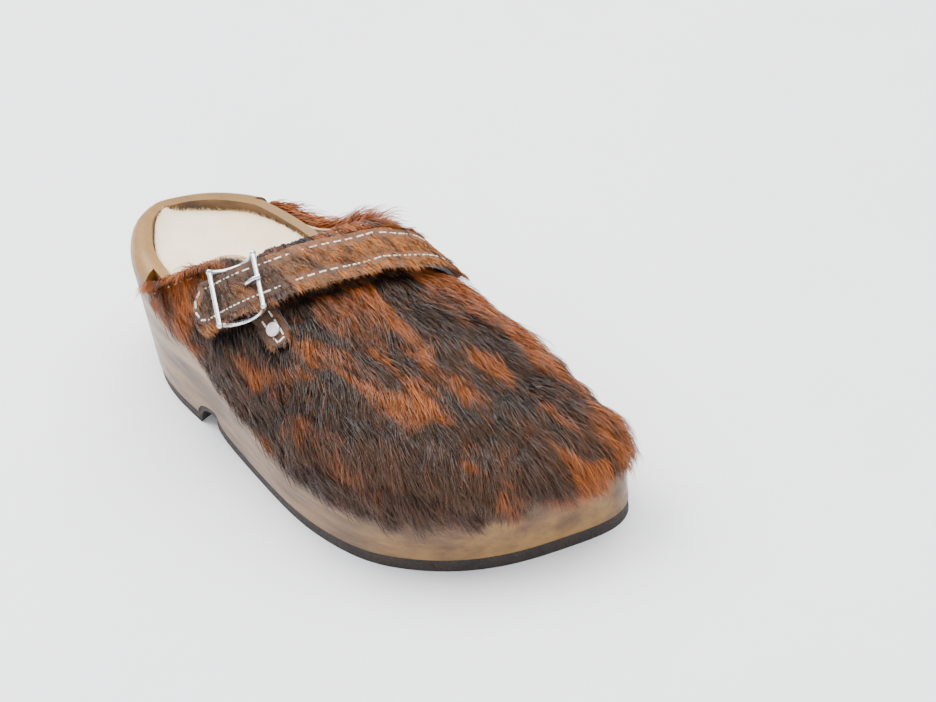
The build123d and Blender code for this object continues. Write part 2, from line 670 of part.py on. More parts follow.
def nearest_normal(band):
    """Normal of a band's top at the place nearest to a point."""
    frames = [band.plane(i / 8) for i in range(8 * (len(band.path) - 1) + 1)]
    return lambda point: min(frames, key=lambda frame: (frame.origin - point).length).z_dir


def band_seam(band, thick, round_start, first, last):
    """Seam up one side of a band, round its starting end and back down the other."""
    half = band.width / 2 - STITCH_MARGIN
    ends = (first, last)
    count = int(16 * abs(last - first))
    up = [band.point(last + (first - last) * i / count, half, thick) for i in range(count + 1)]
    down = [band.point(first + (last - first) * i / count, -half, thick) for i in range(count + 1)]
    frame = band.plane(first)
    bend = [
        band.point(first, 0, thick)
        + (frame.y_dir * math.cos(angle) + frame.x_dir * round_start * math.sin(angle)) * half
        for angle in (math.pi * i / 16 for i in range(1, 16))
    ]
    return up + bend + down


def topline_seam(line, first, last, is_inner):
    """Seam below one side's topline, on the hide."""
    edge = [Vector(x, 0, z) for x, z in line]
    curve = Edge.make_spline(edge)
    points = [curve @ (i / 200) for i in range(201)]
    seam = []
    for distance in range(first, last):
        height = crossing(points, at(distance)).Z - STITCH_MARGIN
        seam.append(HIDE_FACE.point(distance, HIDE_FACE.turn_up(distance, height, is_inner)))
    return seam


def tongue_seam():
    """Seam in front of the tongue's rear edge, on the hide."""
    curve = Edge.make_spline([Vector(x, y, 0) for x, y in TONGUE_EDGE])
    seam = []
    for point in inset_points([curve], -STITCH_MARGIN, Vector(0, 0, 1), 80):
        if -20 < point.Y < 40:
            distance = point.X - HEEL
            seam.append(HIDE_FACE.point(distance, HIDE_FACE.turn_at(distance, point.Y)))
    return seam


def hide_normal(point):
    """Outward direction of the hide at a point on it."""
    distance = point.X - HEEL
    return HIDE_FACE.normal(distance, HIDE_FACE.turn_at(distance, point.Y))


strap_threads = stitches(band_seam(STRAP, STRAP_THICK, -1, 0.6, 9.6), nearest_normal(STRAP))
tab_threads = stitches(band_seam(TAB, TAB_THICK, 1, 2.45, 1.3), nearest_normal(TAB))
topline_threads = (
    stitches(topline_seam(OUTER_TOPLINE, 48, 105, False), hide_normal)
    + stitches(tongue_seam(), hide_normal)
    + stitches(topline_seam(INNER_TOPLINE, 80, 121, True), hide_normal)
)

# ---- nails along the lower edge of the hide ------------------------------------------------
def nails():
    """Nails through the hide and lining into the wood above the ledge."""
    starts = inset_points([FOOT], HIDE_INSET, Vector(0, 0, 1), NAIL_STEPS)
    points = inset_points([FOOT], HIDE_INSET + NAIL_LENGTH, Vector(0, 0, 1), NAIL_STEPS)
    driven = []
    for start, tip in zip(starts, points):
        too_near = any((tip - other).length < NAIL_SPACING for other, _ in driven)
        if too_near or start.X < at(NAIL_START) or start.X > TOE - NAIL_LENGTH:
            continue
        distance = start.X - HEEL
        height = Vector(0, 0, HIDE_FACE.frame(distance)[4] + NAIL_RISE)
        inward = (tip - start).normalized()
        head = start + height - inward * 0.3
        driven.append((tip, rod(head, tip + height, NAIL_SHANK)
                       + rod(head, head + inward * 0.5, NAIL_HEAD)))
    return [nail for _, nail in driven]


upper_nails = nails()

NODES = {
    "wooden_sole": wooden_sole.part,
    "rubber_outsole": rubber_outsole.part,
    "leather_insole": leather_insole.part,
    "upper_hide": upper_hide.part,
    "upper_lining": upper_lining.part,
    "strap_hide": strap_hide.part,
    "strap_lining": strap_lining.part,
    "buckle_tab_hide": buckle_tab_hide.part,
    "buckle_tab_lining": buckle_tab_lining.part,
    "buckle_frame": buckle_frame.part,
    "buckle_prong": buckle_prong.part,
    "lateral_rivet_base": lateral_base,
    "lateral_rivet_cap": lateral_cap,
    "medial_rivet_base": medial_base,
    "medial_rivet_cap": medial_cap,
    "strap_stitching": Compound(strap_threads),
    "buckle_tab_stitching": Compound(tab_threads),
    "topline_stitching": Compound(topline_threads),
    "upper_nails": Compound([solid for nail in upper_nails for solid in nail.solids()]),
}
os.makedirs("parts", exist_ok=True)
for name, solid in NODES.items():
    solid.label = name
    export_step(solid, f"parts/{name}.step")
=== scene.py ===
"""Looks of a hair-on clog with a carved wooden sole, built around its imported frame."""

import logging
import math
from dataclasses import dataclass
from enum import Enum

import bpy
import numpy as np
from mathutils import Matrix, Vector
from mathutils.bvhtree import BVHTree
from mathutils.kdtree import KDTree


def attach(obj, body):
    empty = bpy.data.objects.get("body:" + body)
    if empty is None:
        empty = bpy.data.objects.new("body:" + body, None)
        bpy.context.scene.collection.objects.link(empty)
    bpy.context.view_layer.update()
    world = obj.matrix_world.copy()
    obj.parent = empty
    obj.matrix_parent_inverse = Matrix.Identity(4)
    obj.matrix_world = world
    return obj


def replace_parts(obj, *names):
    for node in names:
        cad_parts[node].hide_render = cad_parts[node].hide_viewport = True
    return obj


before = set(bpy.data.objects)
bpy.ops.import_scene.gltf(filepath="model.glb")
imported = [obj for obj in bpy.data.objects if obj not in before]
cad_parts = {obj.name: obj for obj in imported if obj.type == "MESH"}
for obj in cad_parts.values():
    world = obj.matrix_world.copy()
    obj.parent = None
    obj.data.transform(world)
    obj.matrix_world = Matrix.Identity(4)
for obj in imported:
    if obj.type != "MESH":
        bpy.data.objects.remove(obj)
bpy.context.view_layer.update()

MM = 0.001
SEED = 20
LOG = logging.getLogger("clog")
Colour = tuple[float, float, float]


class Lie(Enum):
    """Which way a coat of hair lies."""

    OVER_VAMP = "over the vamp"
    ACROSS_STRAP = "across the strap"


# ---- node helpers --------------------------------------------------------------------------
def opaque(colour: Colour) -> tuple[float, float, float, float]:
    """Colour with full opacity."""
    return (*colour, 1.0)


def add_node(tree: bpy.types.NodeTree, kind: str, sockets: dict | None = None,
             **settings: object) -> bpy.types.Node:
    """Adds a node to a tree.

    Args:
        tree: the tree of a material or a group.
        kind: the node's type name.
        sockets: values of its input sockets, by name or number.
        **settings: its own properties.

    Returns:
        The new node.
    """
    node = tree.nodes.new(kind)
    for name, value in settings.items():
        setattr(node, name, value)
    for name, value in (sockets or {}).items():
        node.inputs[name].default_value = value
    return node


def ramp_node(tree: bpy.types.NodeTree, stops: list[tuple[float, Colour]]) -> bpy.types.Node:
    """Adds a colour ramp.

    Args:
        tree: the tree of a material or a group.
        stops: places from 0 to 1 with their colours.

    Returns:
        The ramp's node.
    """
    node = tree.nodes.new("ShaderNodeValToRGB")
    elements = node.color_ramp.elements
    while len(elements) < len(stops):
        elements.new(0.5)
    for element, (place, colour) in zip(elements, stops):
        element.position = place
        element.color = opaque(colour)
    return node


def mix_colours(tree: bpy.types.NodeTree, share: object, first: object, second: object,
                how: str = "MIX") -> bpy.types.NodeSocket:
    """Mixes two colours.

    Args:
        tree: the tree of a material or a group.
        share: socket or number that says how much of the second shows.
        first: socket or colour.
        second: socket or colour.
        how: the blend type.

    Returns:
        The mixed colour's socket.
    """
    node = tree.nodes.new("ShaderNodeMix")
    node.data_type = "RGBA"
    node.blend_type = how
    for slot, value in ((0, share), (6, first), (7, second)):
        if isinstance(value, bpy.types.NodeSocket):
            tree.links.new(value, node.inputs[slot])
        else:
            node.inputs[slot].default_value = value if slot == 0 else opaque(value)
    return node.outputs[2]


def remap(tree: bpy.types.NodeTree, value: bpy.types.NodeSocket, low: float, high: float,
          out_low: float = 0.0, out_high: float = 1.0) -> bpy.types.NodeSocket:
    """Maps a value's range smoothly to another one.

    Args:
        tree: the tree of a material or a group.
        value: the socket to map.
        low: value that becomes out_low.
        high: value that becomes out_high.
        out_low: lowest result.
        out_high: highest result.

    Returns:
        The mapped value's socket.
    """
    node = add_node(tree, "ShaderNodeMapRange", {1: low, 2: high, 3: out_low, 4: out_high},
                    interpolation_type="SMOOTHSTEP")
    tree.links.new(value, node.inputs[0])
    return node.outputs[0]


def calculate(tree: bpy.types.NodeTree, how: str, first: object,
              second: object = 0.0) -> bpy.types.NodeSocket:
    """Does one sum on sockets or numbers.

    Args:
        tree: the tree of a material or a group.
        how: the Math node's operation.
        first: socket or number.
        second: socket or number.

    Returns:
        The result's socket.
    """
    node = add_node(tree, "ShaderNodeMath", operation=how)
    for slot, value in ((0, first), (1, second)):
        if isinstance(value, bpy.types.NodeSocket):
            tree.links.new(value, node.inputs[slot])
        else:
            node.inputs[slot].default_value = value
    return node.outputs[0]


def new_group(name: str, inputs: list[tuple[str, str, object]],
              outputs: list[tuple[str, str]]) -> tuple[bpy.types.NodeTree, bpy.types.Node,
                                                       bpy.types.Node]:
    """Starts a shared effect.

    Args:
        name: the group's name.
        inputs: name, socket type and default of each input.
        outputs: name and socket type of each output.

    Returns:
        The group, and its input and output nodes.
    """
    group = bpy.data.node_groups.new(name, "ShaderNodeTree")
    for label, kind, default in inputs:
        socket = group.interface.new_socket(name=label, in_out="INPUT", socket_type=kind)
        socket.default_value = default
    for label, kind in outputs:
        group.interface.new_socket(name=label, in_out="OUTPUT", socket_type=kind)
    return group, group.nodes.new("NodeGroupInput"), group.nodes.new("NodeGroupOutput")


def mottle_group() -> bpy.types.NodeTree:
    """Shared effect: soft clouds and fine specks, stretched along the piece."""
    group, enter, leave = new_group(
        "mottle",
        [("Coarse", "NodeSocketFloat", 40.0), ("Fine", "NodeSocketFloat", 900.0),
         ("Stretch", "NodeSocketVector", (1.0, 1.0, 1.0))],
        [("Cloud", "NodeSocketFloat"), ("Speck", "NodeSocketFloat")],
    )
    place = add_node(group, "ShaderNodeTexCoord")
    stretch = add_node(group, "ShaderNodeVectorMath", operation="MULTIPLY")
    group.links.new(place.outputs["Object"], stretch.inputs[0])
    group.links.new(enter.outputs["Stretch"], stretch.inputs[1])
    for size, out, detail in (("Coarse", "Cloud", 5.0), ("Fine", "Speck", 3.0)):
        noise = add_node(group, "ShaderNodeTexNoise", {"Detail": detail, "Roughness": 0.62})
        group.links.new(stretch.outputs[0], noise.inputs["Vector"])
        group.links.new(enter.outputs[size], noise.inputs["Scale"])
        group.links.new(noise.outputs["Fac"], leave.inputs[out])
    return group


def brindle_group() -> bpy.types.NodeTree:
    """Shared effect: the brindled pattern of the hide, by place on the clog."""
    group, enter, leave = new_group(
        "brindle",
        [("Patch Scale", "NodeSocketFloat", 58.0), ("Rust Amount", "NodeSocketFloat", 0.0),
         ("Dark", "NodeSocketColor", (0.02, 0.01, 0.008, 1)),
         ("Grey Brown", "NodeSocketColor", (0.13, 0.08, 0.06, 1)),
         ("Rust", "NodeSocketColor", (0.4, 0.12, 0.025, 1))],
        [("Colour", "NodeSocketColor"), ("Rust Mask", "NodeSocketFloat")],
    )
    place = add_node(group, "ShaderNodeTexCoord")
    apart = add_node(group, "ShaderNodeSeparateXYZ")
    group.links.new(place.outputs["Object"], apart.inputs[0])
    stretch = add_node(group, "ShaderNodeVectorMath", {1: (0.45, 1.3, 0.55)}, operation="MULTIPLY")
    group.links.new(place.outputs["Object"], stretch.inputs[0])
    patch = add_node(group, "ShaderNodeTexNoise", {"Detail": 3.0, "Roughness": 0.55,
                                                   "Distortion": 0.6})
    group.links.new(stretch.outputs[0], patch.inputs["Vector"])
    group.links.new(enter.outputs["Patch Scale"], patch.inputs["Scale"])
    ridge = remap(group, apart.outputs["Y"], 0.010, 0.046, 0.0, 0.17)
    rear = remap(group, apart.outputs["X"], -0.030, -0.072, 0.0, 0.22)
    toe = remap(group, apart.outputs["X"], 0.100, 0.128, 0.0, 0.10)
    low = remap(group, apart.outputs["Z"], 0.062, 0.040, 0.0, -0.10)
    total = calculate(group, "ADD", calculate(group, "ADD", ridge, rear),
                      calculate(group, "ADD", toe, low))
    total = calculate(group, "ADD", calculate(group, "ADD", total, patch.outputs["Fac"]),
                      enter.outputs["Rust Amount"])
    mask = remap(group, total, 0.48, 0.70)
    cloud = add_node(group, "ShaderNodeTexNoise", {"Scale": 62.0, "Detail": 2.0})
    group.links.new(stretch.outputs[0], cloud.inputs["Vector"])
    lift = remap(group, apart.outputs["Z"], 0.080, 0.040, -0.12, 0.14)
    grey = remap(group, calculate(group, "ADD", cloud.outputs["Fac"], lift), 0.40, 0.66)
    under = mix_colours(group, grey, enter.outputs["Dark"], enter.outputs["Grey Brown"])
    group.links.new(mix_colours(group, mask, under, enter.outputs["Rust"]),
                    leave.inputs["Colour"])
    group.links.new(mask, leave.inputs["Rust Mask"])
    return group


MOTTLE = mottle_group()
BRINDLE = brindle_group()


def place_group(tree: bpy.types.NodeTree, group: bpy.types.NodeTree,
                values: dict) -> bpy.types.Node:
    """Places a shared effect in a material with its own values."""
    node = tree.nodes.new("ShaderNodeGroup")
    node.node_tree = group
    for name, value in values.items():
        node.inputs[name].default_value = value
    return node


def new_material(name: str) -> tuple[bpy.types.Material, bpy.types.NodeTree, bpy.types.Node]:
    """Starts a material.

    Args:
        name: the material's name.

    Returns:
        The material, its tree and its shader.
    """
    material = bpy.data.materials.new(name)
    material.use_nodes = True
    return material, material.node_tree, material.node_tree.nodes["Principled BSDF"]


def add_relief(tree: bpy.types.NodeTree, shader: bpy.types.Node, height: bpy.types.NodeSocket,
               depth: float, strength: float) -> None:
    """Gives a shader a fine relief.

    Args:
        tree: the material's tree.
        shader: the shader that takes the relief.
        height: socket with the height.
        depth: the relief's depth in metres.
        strength: how much of it shows.
    """
    bump = add_node(tree, "ShaderNodeBump", {"Distance": depth, "Strength": strength})
    tree.links.new(height, bump.inputs["Height"])
    tree.links.new(bump.outputs["Normal"], shader.inputs["Normal"])


# ---- finishes ------------------------------------------------------------------------------
@dataclass(frozen=True)
class WoodFinish:
    """Oiled wood with streaks along the foot, and a painted highlight on faces that point up."""

    name: str = "oiled_wood"
    dark: Colour = (0.036, 0.014, 0.003)
    middle: Colour = (0.108, 0.047, 0.008)
    light: Colour = (0.215, 0.105, 0.018)
    # painted highlight: the lighter colour mixed onto faces that point up, standing in for light from above
    painted_top_light: Colour = (0.270, 0.138, 0.026)
    roughness: float = 0.44

    def make(self) -> bpy.types.Material:
        """Builds the material."""
        material, tree, shader = new_material(self.name)
        streaks = place_group(tree, MOTTLE, {"Coarse": 105.0, "Fine": 900.0,
                                             "Stretch": (0.13, 0.75, 1.0)})
        flame = place_group(tree, MOTTLE, {"Coarse": 26.0, "Fine": 1600.0,
                                           "Stretch": (0.5, 1.0, 1.6)})
        mixed = calculate(tree, "ADD", calculate(tree, "MULTIPLY", streaks.outputs["Cloud"], 0.6),
                          calculate(tree, "MULTIPLY", flame.outputs["Cloud"], 0.4))
        ramp = ramp_node(tree, [(0.36, self.dark), (0.47, self.middle), (0.60, self.light)])
        tree.links.new(mixed, ramp.inputs[0])
        faces = add_node(tree, "ShaderNodeNewGeometry")
        apart = add_node(tree, "ShaderNodeSeparateXYZ")
        tree.links.new(faces.outputs["Normal"], apart.inputs[0])
        # painted highlight: faces turned upwards are mixed up to 55 percent towards the lighter colour, as
        # if lit from above; sides stay darker
        upward = remap(tree, apart.outputs["Z"], 0.15, 0.75, 0.0, 0.55)
        colour = mix_colours(tree, upward, ramp.outputs[0], self.painted_top_light)
        pores = remap(tree, streaks.outputs["Speck"], 0.62, 0.72, 0.0, 0.5)
        colour = mix_colours(tree, pores, colour, self.dark)
        tree.links.new(colour, shader.inputs["Base Color"])
        tree.links.new(remap(tree, streaks.outputs["Cloud"], 0.3, 0.7, self.roughness + 0.1,
                             self.roughness - 0.08), shader.inputs["Roughness"])
        shader.inputs["Coat Weight"].default_value = 0.12
        shader.inputs["Coat Roughness"].default_value = 0.3
        add_relief(tree, shader, streaks.outputs["Speck"], 0.0004, 0.35)
        return material


@dataclass(frozen=True)
class SheetFinish:
    """Leather, felt, rubber or thread: clouds of two colours with a fine relief."""

    name: str
    base: Colour
    shade: Colour
    coarse: float = 60.0
    fine: float = 1400.0
    stretch: Colour = (1.0, 1.0, 1.0)
    roughness: float = 0.75
    depth: float = 0.0003
    sheen: float = 0.0

    def make(self) -> bpy.types.Material:
        """Builds the material."""
        material, tree, shader = new_material(self.name)
        mottle = place_group(tree, MOTTLE, {"Coarse": self.coarse, "Fine": self.fine,
                                            "Stretch": self.stretch})
        cloud = remap(tree, mottle.outputs["Cloud"], 0.35, 0.68)
        colour = mix_colours(tree, cloud, self.base, self.shade)
        speck = remap(tree, mottle.outputs["Speck"], 0.56, 0.74, 0.0, 0.55)
        tree.links.new(mix_colours(tree, speck, colour, self.shade), shader.inputs["Base Color"])
        tree.links.new(remap(tree, mottle.outputs["Speck"], 0.3, 0.7, self.roughness - 0.08,
                             self.roughness + 0.08), shader.inputs["Roughness"])
        shader.inputs["Sheen Weight"].default_value = self.sheen
        add_relief(tree, shader, mottle.outputs["Speck"], self.depth, 0.6)
        return material


@dataclass(frozen=True)
class MetalFinish:
    """Plated or bare metal with faint scratches."""

    name: str
    base: Colour
    roughness: float = 0.2

    def make(self) -> bpy.types.Material:
        """Builds the material."""
        material, tree, shader = new_material(self.name)
        mottle = place_group(tree, MOTTLE, {"Coarse": 420.0, "Fine": 2600.0,
                                            "Stretch": (1.0, 0.3, 1.0)})
        dull = remap(tree, mottle.outputs["Cloud"], 0.4, 0.7, 0.0, 0.45)
        shade = tuple(0.55 * part for part in self.base)
        tree.links.new(mix_colours(tree, dull, self.base, shade), shader.inputs["Base Color"])
        tree.links.new(remap(tree, mottle.outputs["Speck"], 0.35, 0.7, self.roughness,
                             self.roughness + 0.2), shader.inputs["Roughness"])
        shader.inputs["Metallic"].default_value = 1.0
        add_relief(tree, shader, mottle.outputs["Speck"], 0.00005, 0.2)
        return material


@dataclass(frozen=True)
class HairFinish:
    """Brindled hair, or the skin that it grows from."""

    name: str
    dark: Colour = (0.007, 0.003, 0.002)
    grey: Colour = (0.046, 0.017, 0.009)
    rust: Colour = (0.350, 0.080, 0.005)
    rust_amount: float = 0.03
    is_skin: bool = False

    def make(self) -> bpy.types.Material:
        """Builds the material."""
        material, tree, shader = new_material(self.name)
        pattern = place_group(tree, BRINDLE, {
            "Rust Amount": self.rust_amount, "Dark": opaque(self.dark),
            "Grey Brown": opaque(self.grey), "Rust": opaque(self.rust)})
        colour = pattern.outputs["Colour"]
        if self.is_skin:
            mottle = place_group(tree, MOTTLE, {"Coarse": 200.0, "Fine": 1500.0})
            colour = mix_colours(tree, remap(tree, mottle.outputs["Speck"], 0.3, 0.7, 0.2, 0.8),
                                 colour, self.dark)
            shader.inputs["Roughness"].default_value = 0.8
            add_relief(tree, shader, mottle.outputs["Speck"], 0.0005, 0.7)
        else:
            tone = add_node(tree, "ShaderNodeAttribute", attribute_name="hair_tone")
            apart = add_node(tree, "ShaderNodeSeparateColor")
            tree.links.new(tone.outputs["Color"], apart.inputs[0])
            darker = remap(tree, apart.outputs[0], 0.05, 0.9, 0.75, 0.0)
            colour = mix_colours(tree, darker, colour, self.dark)
            lighter = remap(tree, apart.outputs[0], 0.78, 1.0, 0.0, 0.45)
            colour = mix_colours(tree, lighter, colour, self.rust)
            tips = remap(tree, apart.outputs[1], 0.3, 1.0, 0.0, 0.14)
            colour = mix_colours(tree, tips, colour, (0.42, 0.22, 0.11))
            tree.links.new(remap(tree, apart.outputs[2], 0.0, 1.0, 0.34, 0.5),
                           shader.inputs["Roughness"])
            shader.inputs["Specular IOR Level"].default_value = 0.28
        tree.links.new(colour, shader.inputs["Base Color"])
        return material


# ---- meshes --------------------------------------------------------------------------------
def new_piece(name: str, mesh: bpy.types.Mesh, material: bpy.types.Material, body: str) -> bpy.types.Object:
    """Adds a piece to the scene.

    Args:
        name: the piece's name.
        mesh: its mesh.
        material: its finish.
        body: the body that it moves with.

    Returns:
        The piece's object.
    """
    mesh.materials.clear()
    mesh.materials.append(material)
    piece = bpy.data.objects.new(name, mesh)
    bpy.context.scene.collection.objects.link(piece)
    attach(piece, body)
    LOG.info("%s: %d faces on %s", name, len(mesh.polygons), body)
    return piece


def dress(node: str, material: bpy.types.Material) -> None:
    """Gives a CAD node its finish."""
    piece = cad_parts[node]
    if piece.material_slots:
        for slot in piece.material_slots:
            slot.material = material
    else:
        piece.data.materials.append(material)
    LOG.info("%s dressed with %s", node, material.name)


def waves(points: np.ndarray, size: float, seed: int) -> np.ndarray:
    """Smooth noise, about -1 to 1.

    Args:
        points: places in metres, one row each.
        size: length of its waves in metres.
        seed: start of the random draws.

    Returns:
        One value for each place.
    """
    rng = np.random.default_rng(seed)
    total = np.zeros(len(points))
    for _ in range(7):
        way = rng.normal(size=3)
        way *= rng.uniform(0.6, 1.6) / np.linalg.norm(way)
        total += np.sin(points @ way * (2 * math.pi / size) + rng.uniform(0, 2 * math.pi))
    return total / 3.2


def soft_mesh(node: str, voxel: float, sway: float, wave: float) -> bpy.types.Mesh:
    """Even, softened mesh of a leather piece from its CAD node.

    Args:
        node: the CAD node.
        voxel: size of its new faces in metres.
        sway: how far its face rises and falls in metres.
        wave: length of those waves in metres.

    Returns:
        The new mesh.
    """
    source = bpy.data.objects.new("source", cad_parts[node].data.copy())
    bpy.context.scene.collection.objects.link(source)
    remesh = source.modifiers.new("even", "REMESH")
    remesh.mode = "VOXEL"
    remesh.voxel_size = voxel
    smooth = source.modifiers.new("soften", "SMOOTH")
    smooth.factor = 0.5
    smooth.iterations = 2
    bpy.context.view_layer.update()
    ready = source.evaluated_get(bpy.context.evaluated_depsgraph_get())
    mesh = bpy.data.meshes.new_from_object(ready)
    bpy.data.objects.remove(source)
    count = len(mesh.vertices)
    places = np.zeros(count * 3)
    mesh.vertices.foreach_get("co", places)
    places = places.reshape(-1, 3)
    normals = np.array([vertex.normal[:] for vertex in mesh.vertices])
    places = places + normals * (waves(places, wave, SEED)[:, None] * sway)
    mesh.vertices.foreach_set("co", places.ravel())
    mesh.polygons.foreach_set("use_smooth", [True] * len(mesh.polygons))
    mesh.update()
    return mesh


def triangles(node: str) -> tuple[np.ndarray, np.ndarray]:
    """Corners and normals of a node's triangles."""
    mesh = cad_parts[node].data
    mesh.calc_loop_triangles()
    places = np.zeros(len(mesh.vertices) * 3)
    mesh.vertices.foreach_get("co", places)
    corners = np.zeros(len(mesh.loop_triangles) * 3, dtype=np.int32)
    mesh.loop_triangles.foreach_get("vertices", corners)
    corners = places.reshape(-1, 3)[corners.reshape(-1, 3)]
    normals = np.cross(corners[:, 1] - corners[:, 0], corners[:, 2] - corners[:, 0])
    return corners, normals


def tree_of(nodes: list[str]) -> BVHTree:
    """Search tree over the faces of some nodes."""
    corners = np.concatenate([triangles(node)[0] for node in nodes])
    faces = np.arange(len(corners) * 3).reshape(-1, 3)
    return BVHTree.FromPolygons(corners.reshape(-1, 3).tolist(), faces.tolist())


def points_of(nodes: list[str]) -> KDTree:
    """Search tree over the points of some nodes."""
    places = np.concatenate([triangles(node)[0].reshape(-1, 3) for node in nodes])
    tree = KDTree(len(places))
    for number, place in enumerate(places):
        tree.insert(place, number)
    tree.balance()
    return tree


@dataclass
class Coat:
    """A coat of hair on the outer face of one leather piece, as tapered blades."""

    name: str
    node: str
    body: str
    lie: Lie
    count: int
    length: float
    width: float
    lift: float
    seed: int
    front: float = -1.0
    rear: float = 1.0
    seam: str = ""
    roof: tuple[str, ...] = ()

    core_side: float = 18 * MM
    core_height: float = 36 * MM
    core_front: float = 85 * MM
    seam_room: float = 1.3 * MM
    roof_reach: float = 9 * MM

    def roots(self, rng: np.random.Generator) -> tuple[np.ndarray, np.ndarray]:
        """Draws the places where the hair grows.

        Args:
            rng: the coat's random draws.

        Returns:
            The places and their outward directions.
        """
        corners, normals = triangles(self.node)
        area = np.linalg.norm(normals, axis=1)
        normals = normals / np.maximum(area, 1e-12)[:, None]
        middle = corners.mean(axis=1)
        core = np.column_stack([np.minimum(middle[:, 0], self.core_front),
                                np.full(len(middle), self.core_side),
                                np.full(len(middle), self.core_height)])
        outward = middle - core
        outward /= np.maximum(np.linalg.norm(outward, axis=1), 1e-9)[:, None]
        faces_out = (normals * outward).sum(axis=1) > 0.3
        inside = (middle[:, 0] > self.front) & (middle[:, 0] < self.rear)
        weight = np.where(faces_out & inside, area, 0.0)
        chosen = rng.choice(len(area), size=self.count, p=weight / weight.sum())
        first, second = rng.random((2, self.count))
        over = first + second > 1
        first, second = np.where(over, 1 - first, first), np.where(over, 1 - second, second)
        a, b, c = corners[chosen, 0], corners[chosen, 1], corners[chosen, 2]
        places = a + (b - a) * first[:, None] + (c - a) * second[:, None]
        return places, normals[chosen]

    def flow(self, places: np.ndarray, normals: np.ndarray,
             rng: np.random.Generator) -> np.ndarray:
        """Direction in which each hair lies, along the leather.

        Args:
            places: where the hair grows.
            normals: outward directions there.
            rng: the coat's random draws.

        Returns:
            Unit directions along the face.
        """
        count = len(places)
        side = np.clip((places[:, 1] - self.core_side) / (45 * MM), -1, 1)
        if self.lie is Lie.OVER_VAMP:
            way = np.column_stack([np.full(count, 0.85), 0.5 * side, np.full(count, -0.75)])
            sweep, stray = 0.35, 0.16
        else:
            way = np.column_stack([np.full(count, 0.9), 0.15 * side, np.full(count, -0.45)])
            sweep, stray = 0.22, 0.20
        across = np.cross(normals, way)
        swirl = sweep * (0.6 * waves(places, 26 * MM, 3) + 0.5 * waves(places, 8 * MM, 4))
        way = way + across * (swirl + rng.normal(0, stray, count))[:, None]
        way -= normals * (way * normals).sum(axis=1)[:, None]
        return way / np.maximum(np.linalg.norm(way, axis=1), 1e-9)[:, None]

    def headroom(self, places: np.ndarray, normals: np.ndarray) -> np.ndarray:
        """Share of its full height that each hair has below whatever lies over it."""
        room = np.ones(len(places))
        if not self.roof:
            return room
        tree = tree_of(list(self.roof))
        for number, (place, normal) in enumerate(zip(places, normals)):
            hit = tree.ray_cast(Vector(place + normal * 0.2 * MM), Vector(normal), self.roof_reach)
            if hit[3] is not None:
                room[number] = max(hit[3] / self.roof_reach, 0.1) * 0.8
        return room

    def trimmed(self, places: np.ndarray, way: np.ndarray, length: np.ndarray) -> np.ndarray:
        """Lengths cut so that no hair lies over the seam."""
        if not self.seam:
            return length
        tree = points_of([self.seam])
        for number, (place, along) in enumerate(zip(places, way)):
            if tree.find(place)[2] < self.seam_room:
                length[number] = 0.0
                continue
            for _ in range(4):
                reach = [tree.find(place + along * length[number] * part)[2]
                         for part in (0.5, 1.0)]
                if min(reach) > self.seam_room:
                    break
                length[number] *= 0.6
        return length

    def build(self, material: bpy.types.Material, slot: str) -> bpy.types.Object:
        """Builds the coat.

        Args:
            material: its finish.
            slot: not used.

        Returns:
            The coat's object.
        """
        rng = np.random.default_rng(self.seed)
        places, normals = self.roots(rng)
        way = self.flow(places, normals, rng)
        length = self.length * rng.uniform(0.55, 1.25, self.count)
        length *= 1 + 0.25 * waves(places, 14 * MM, 5)
        room = self.headroom(places, normals)
        length = self.trimmed(places, way, length * (0.45 + 0.55 * room))
        keep = length > 0.8 * MM
        places, normals, way = places[keep], normals[keep], way[keep]
        length, room = length[keep][:, None], room[keep][:, None]
        count = len(places)
        lift = self.lift * rng.uniform(0.45, 1.4, count)[:, None] * room
        lift *= 1 + 0.35 * waves(places, 9 * MM, 6)[:, None]
        droop = rng.uniform(0.05, 0.16, count)[:, None]
        start = places - normals * 0.25 * MM
        first = start + length * (0.34 * way + lift * normals)
        second = first + length * (0.35 * way + 0.25 * lift * normals)
        tip = second + length * (0.31 * way - droop * normals)
        tilt = rng.normal(0, 0.5, count)[:, None]
        wide = np.cross(way, normals) + normals * tilt
        wide *= self.width / 2 / np.linalg.norm(wide, axis=1)[:, None]
        rows = [start - wide, start + wide, first - wide, first + wide,
                second - wide * 0.7, second + wide * 0.7, tip]
        vertices = np.stack(rows, axis=1).reshape(-1, 3)
        base = np.arange(count)[:, None] * 7
        quads = np.concatenate([base + [[0, 1, 3, 2]], base + [[2, 3, 5, 4]]])
        tips = base + [[4, 5, 6]]
        mesh = bpy.data.meshes.new(self.name)
        mesh.from_pydata(vertices.tolist(), [], quads.tolist() + tips.tolist())
        shade = rng.random(count)
        clump = np.clip(0.5 + 0.5 * waves(places, 6 * MM, 7), 0, 1)
        tone = np.ones((count, 7, 4))
        tone[:, :, 0] = np.clip(0.55 * shade + 0.45 * clump, 0, 1)[:, None]
        tone[:, :, 1] = np.array([0, 0, 0.35, 0.35, 0.7, 0.7, 1.0])[None, :]
        tone[:, :, 2] = shade[:, None]
        record = mesh.attributes.new("hair_tone", "FLOAT_COLOR", "POINT")
        record.data.foreach_set("color", tone.ravel())
        mesh.update()
        return new_piece(self.name, mesh, material, self.body)


